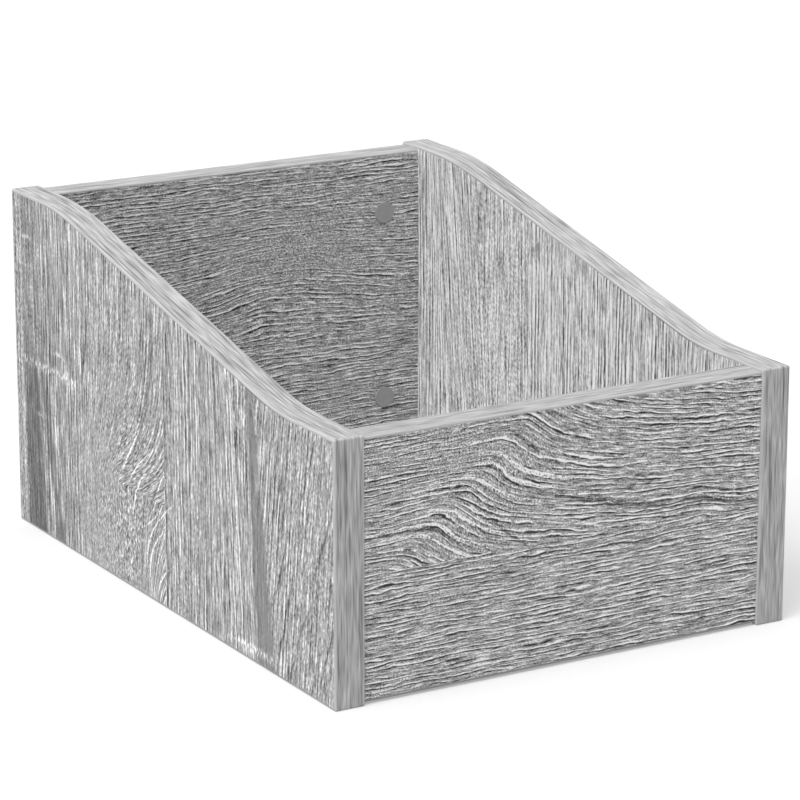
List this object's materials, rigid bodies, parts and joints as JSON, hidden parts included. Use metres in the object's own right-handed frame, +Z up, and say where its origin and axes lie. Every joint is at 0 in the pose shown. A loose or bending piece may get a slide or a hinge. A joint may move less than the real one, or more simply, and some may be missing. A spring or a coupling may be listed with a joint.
{
  "type": "record storage box",
  "caption": "Open-topped storage box in grey oak board: high back, low front and sides whose top edges sweep down in an S-curve, joined with hidden cam fittings and dowels.",
  "frame": {"origin": "on the floor, at the middle of the box's footprint", "axes": "+Z up, +Y towards the high back, +X to the right seen from the front; the low front faces -Y"},
  "size_m": [0.395, 0.534, 0.282],
  "materials": {
    "grey_oak_board": "matte grey oak decor on engineered board",
    "grey_oak_band": "matte grey oak edge band",
    "connector_zinc": "zinc plated",
    "beech_dowel": "plain beech",
    "grey_cap": "matte grey"
  },
  "bodies": {
    "root": {"left_side_panel": "grey_oak_board", "right_side_panel": "grey_oak_board", "front_panel": "grey_oak_board", "back_panel": "grey_oak_board", "bottom_panel": "grey_oak_board", "left_side_front_band": "grey_oak_band", "left_side_top_band": "grey_oak_band", "left_side_back_band": "grey_oak_band", "left_side_bottom_band": "grey_oak_band", "right_side_front_band": "grey_oak_band", "right_side_top_band": "grey_oak_band", "right_side_back_band": "grey_oak_band", "right_side_bottom_band": "grey_oak_band", "front_panel_top_band": "grey_oak_band", "front_panel_bottom_band": "grey_oak_band", "back_panel_top_band": "grey_oak_band", "back_panel_bottom_band": "grey_oak_band", "front_panel_cam_bolts": "connector_zinc", "front_panel_cam_discs": "connector_zinc", "back_panel_cam_bolts": "connector_zinc", "back_panel_cam_discs": "connector_zinc", "bottom_panel_cam_bolts": "connector_zinc", "bottom_panel_cam_discs": "connector_zinc", "front_panel_dowels": "beech_dowel", "back_panel_dowels": "beech_dowel", "bottom_panel_dowels": "beech_dowel", "bottom_panel_end_dowels": "beech_dowel", "front_panel_cam_caps": "grey_cap", "back_panel_cam_caps": "grey_cap"}
  },
  "joints": []
}
